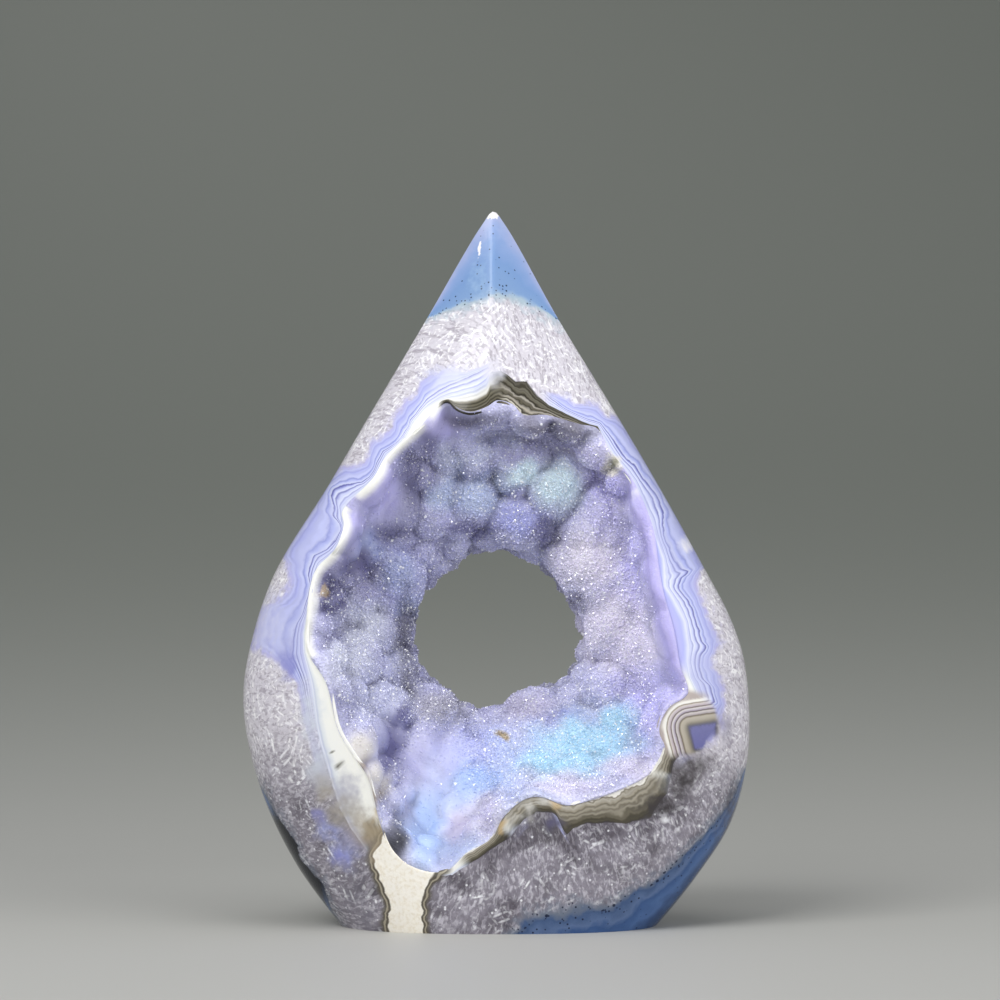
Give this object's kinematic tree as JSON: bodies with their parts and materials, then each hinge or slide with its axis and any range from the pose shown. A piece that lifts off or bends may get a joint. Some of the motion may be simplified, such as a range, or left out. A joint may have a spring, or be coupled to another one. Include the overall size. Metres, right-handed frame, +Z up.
{
  "type": "agate geode",
  "caption": "Polished teardrop of banded lavender-blue agate with an open hollow lined with lumpy sparkling druse, a hole through its back and a flat base to stand on.",
  "frame": {"origin": "bottom centre of the stone's box, on the surface that it stands on", "axes": "+Z up to the tip, the open hollow faces -Y, +X to the right as seen from the front"},
  "size_m": [0.0668, 0.0296, 0.095],
  "materials": {
    "polished_agate": "polished, translucent banded chalcedony and quartz",
    "lavender_druse": "fine sparkling quartz druse on rounded lumps"
  },
  "bodies": {
    "root": {"agate_body": "polished_agate", "druzy_crust": "lavender_druse"}
  },
  "joints": []
}
